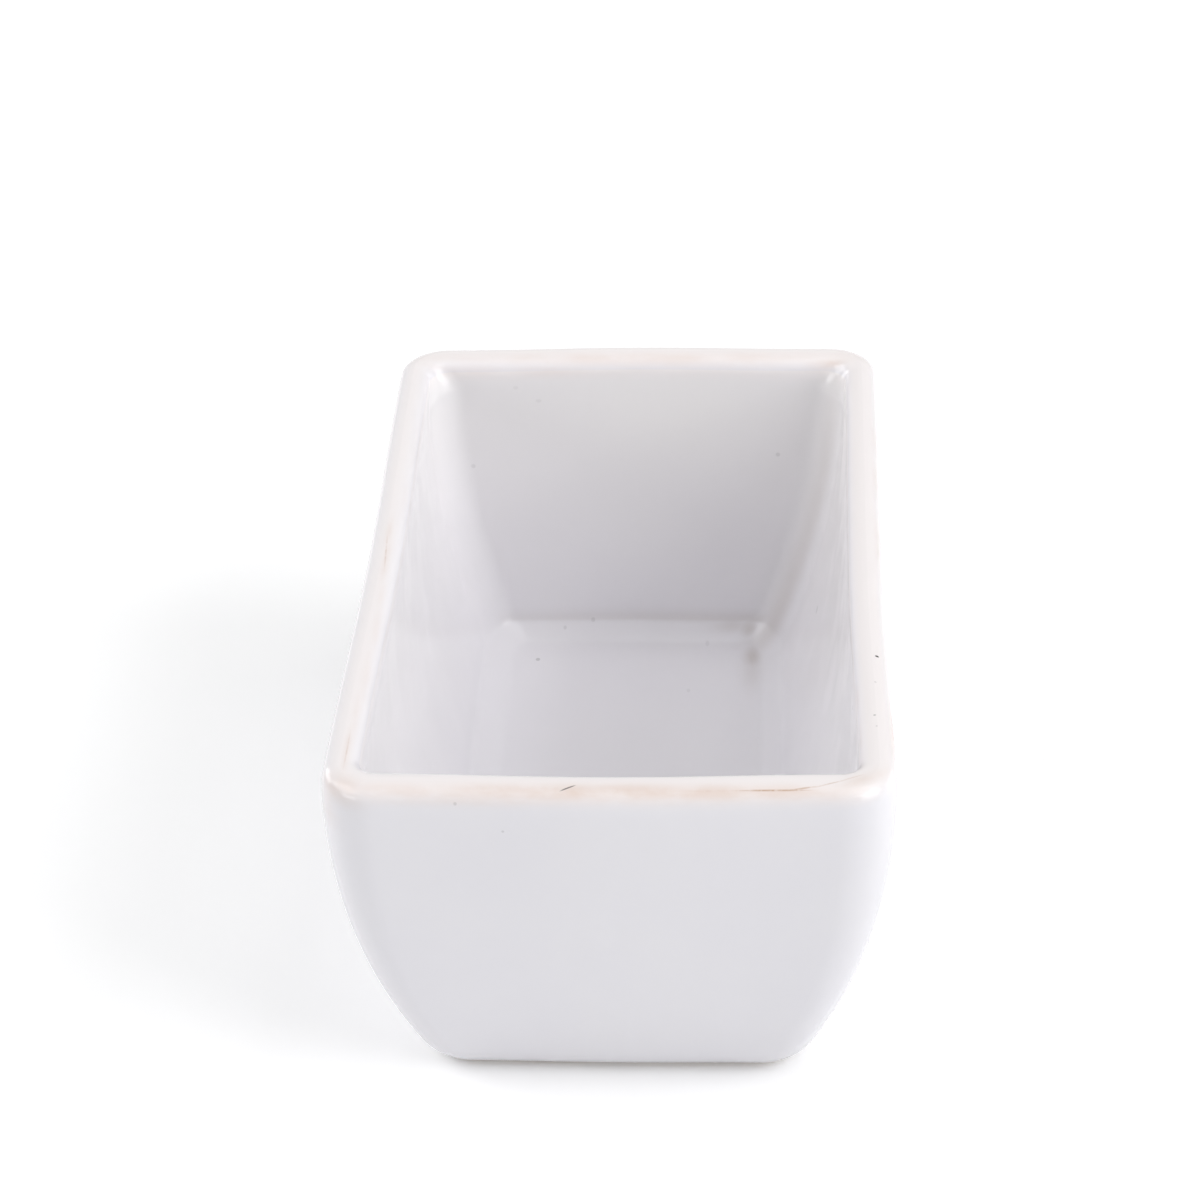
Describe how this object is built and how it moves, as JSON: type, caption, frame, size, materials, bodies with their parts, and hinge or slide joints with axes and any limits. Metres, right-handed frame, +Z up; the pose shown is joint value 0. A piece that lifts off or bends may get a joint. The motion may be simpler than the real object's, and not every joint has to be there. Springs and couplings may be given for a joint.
{
  "type": "sugar packet holder",
  "caption": "Open rectangular glazed stoneware dish with leaning walls, a rounded rim and a dry foot ring, for standing sugar packets on edge.",
  "frame": {"origin": "on the table, under the middle of the dish", "axes": "+Z up out of the open mouth, Y along the dish, X across it; -Y faces the viewer of the picture"},
  "size_m": [0.076, 0.131, 0.053],
  "materials": {
    "bare_clay": "matt, dry fired clay",
    "white_glaze": "gloss, off-white, thin and tinted by the clay on the rim",
    "recess_glaze": "gloss, off-white"
  },
  "bodies": {
    "root": {"stoneware_body": "bare_clay", "glaze_coat": "white_glaze", "underside_glaze": "recess_glaze"}
  },
  "joints": []
}
